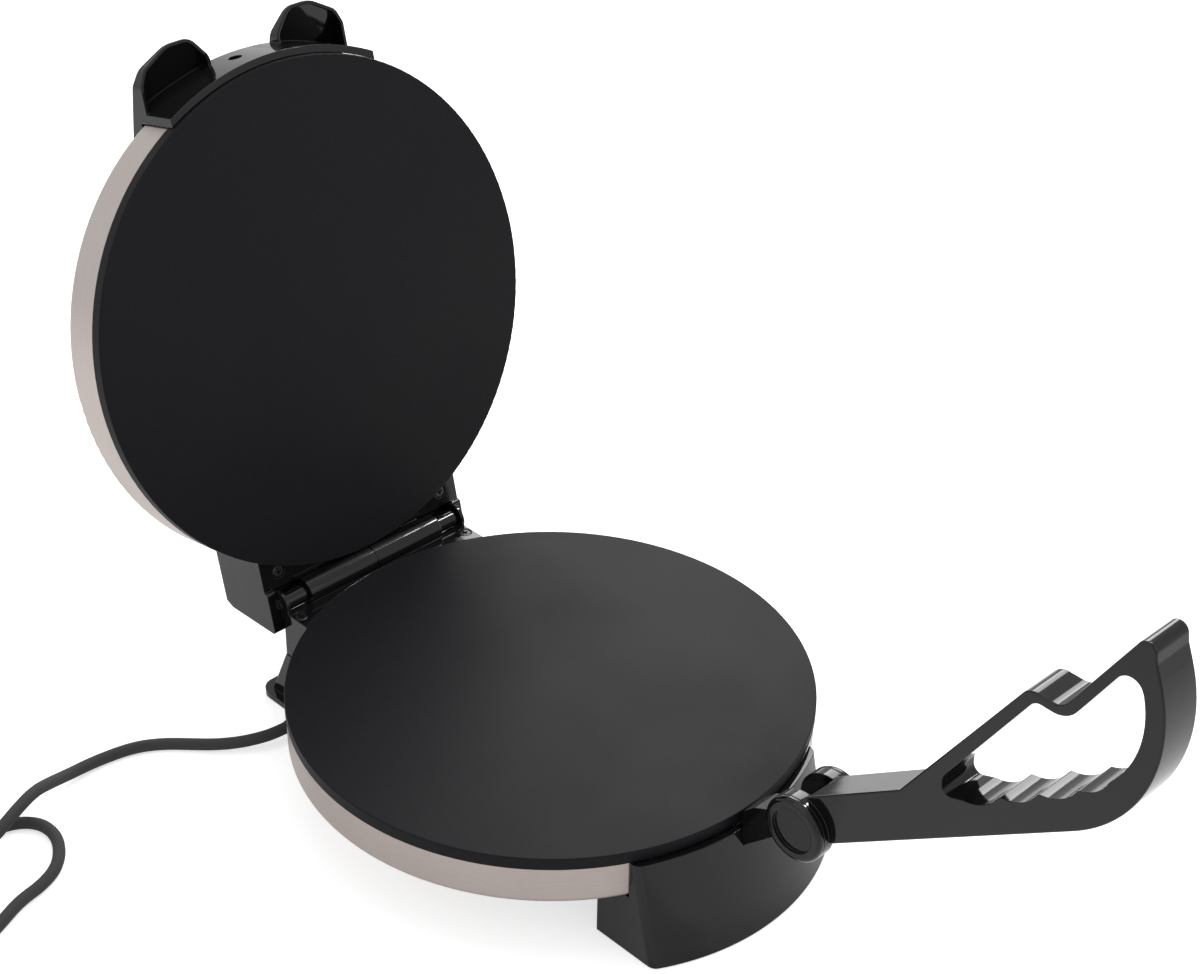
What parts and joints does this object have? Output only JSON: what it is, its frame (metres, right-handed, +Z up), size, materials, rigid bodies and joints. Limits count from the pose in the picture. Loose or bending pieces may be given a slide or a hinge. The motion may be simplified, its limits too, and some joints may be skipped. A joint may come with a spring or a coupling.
{
  "type": "electric roti maker",
  "caption": "Countertop flatbread cooker with two round heated plates, a hinged upper lid and a long press handle with a finger loop, on black feet.",
  "frame": {"origin": "middle of the object's footprint without its cord, on the counter", "axes": "+Z up, +Y from the press handle to the lid's hinge, +X to the right seen from the handle"},
  "size_m": [0.459, 0.559, 0.3293],
  "materials": {
    "cast_plate": "matt non-stick coating",
    "steel_band": "satin",
    "black_plastic": "smooth semi-gloss",
    "zinc_sheet": "plain sheet",
    "element_steel": "dull",
    "rod_steel": "ground",
    "screw_steel": "plated",
    "ceramic": "unglazed ceramic",
    "rubber_pad": "matt",
    "cord_jacket": "smooth",
    "pin_brass": "polished",
    "lamp_red": "clear red",
    "lamp_green": "clear green"
  },
  "bodies": {
    "base": {"base_drum": "steel_band", "base_drum_screws": "screw_steel", "base_hinge_bracket": "black_plastic", "bottom_cover": "zinc_sheet", "cord": "cord_jacket", "cord_coil": "cord_jacket", "cover_screws": "screw_steel", "deck_screws": "screw_steel", "foot_pads": "rubber_pad", "front_foot": "black_plastic", "hinge_rod": "rod_steel", "lower_element": "element_steel", "lower_heat_shield": "zinc_sheet", "lower_plate": "cast_plate", "pivot_arm": "black_plastic", "pivot_arm_screws": "screw_steel", "plug_body": "cord_jacket", "plug_pins": "pin_brass", "rear_foot": "black_plastic", "rear_foot_screws": "screw_steel", "strain_relief": "cord_jacket", "terminal_block": "ceramic", "thermal_fuse": "zinc_sheet", "thermostat": "zinc_sheet"},
    "lid": {"upper_plate": "cast_plate", "lid_drum": "steel_band", "upper_element": "element_steel", "upper_heat_shield": "zinc_sheet", "lid_front_bracket": "black_plastic", "lid_front_screw": "screw_steel", "lid_front_bracket_screws": "screw_steel", "lid_hinge_bracket": "black_plastic", "lid_hinge_bracket_screws": "screw_steel", "lid_face_screws": "screw_steel", "power_lamp": "lamp_red", "ready_lamp": "lamp_green"},
    "handle": {"handle": "black_plastic", "pivot_caps": "black_plastic", "pivot_pin": "rod_steel"}
  },
  "joints": [
    {"name": "lid_hinge", "type": "hinge", "parent": "base", "child": "lid", "pos_m": [0, 0.1848, 0.0609], "axis": [1, 0, 0], "range_deg": [0, 102.9]},
    {"name": "handle_pivot", "type": "hinge", "parent": "base", "child": "handle", "pos_m": [0, -0.1164, 0.0801], "axis": [-1, 0, 0], "range_deg": [0, 109]}
  ]
}
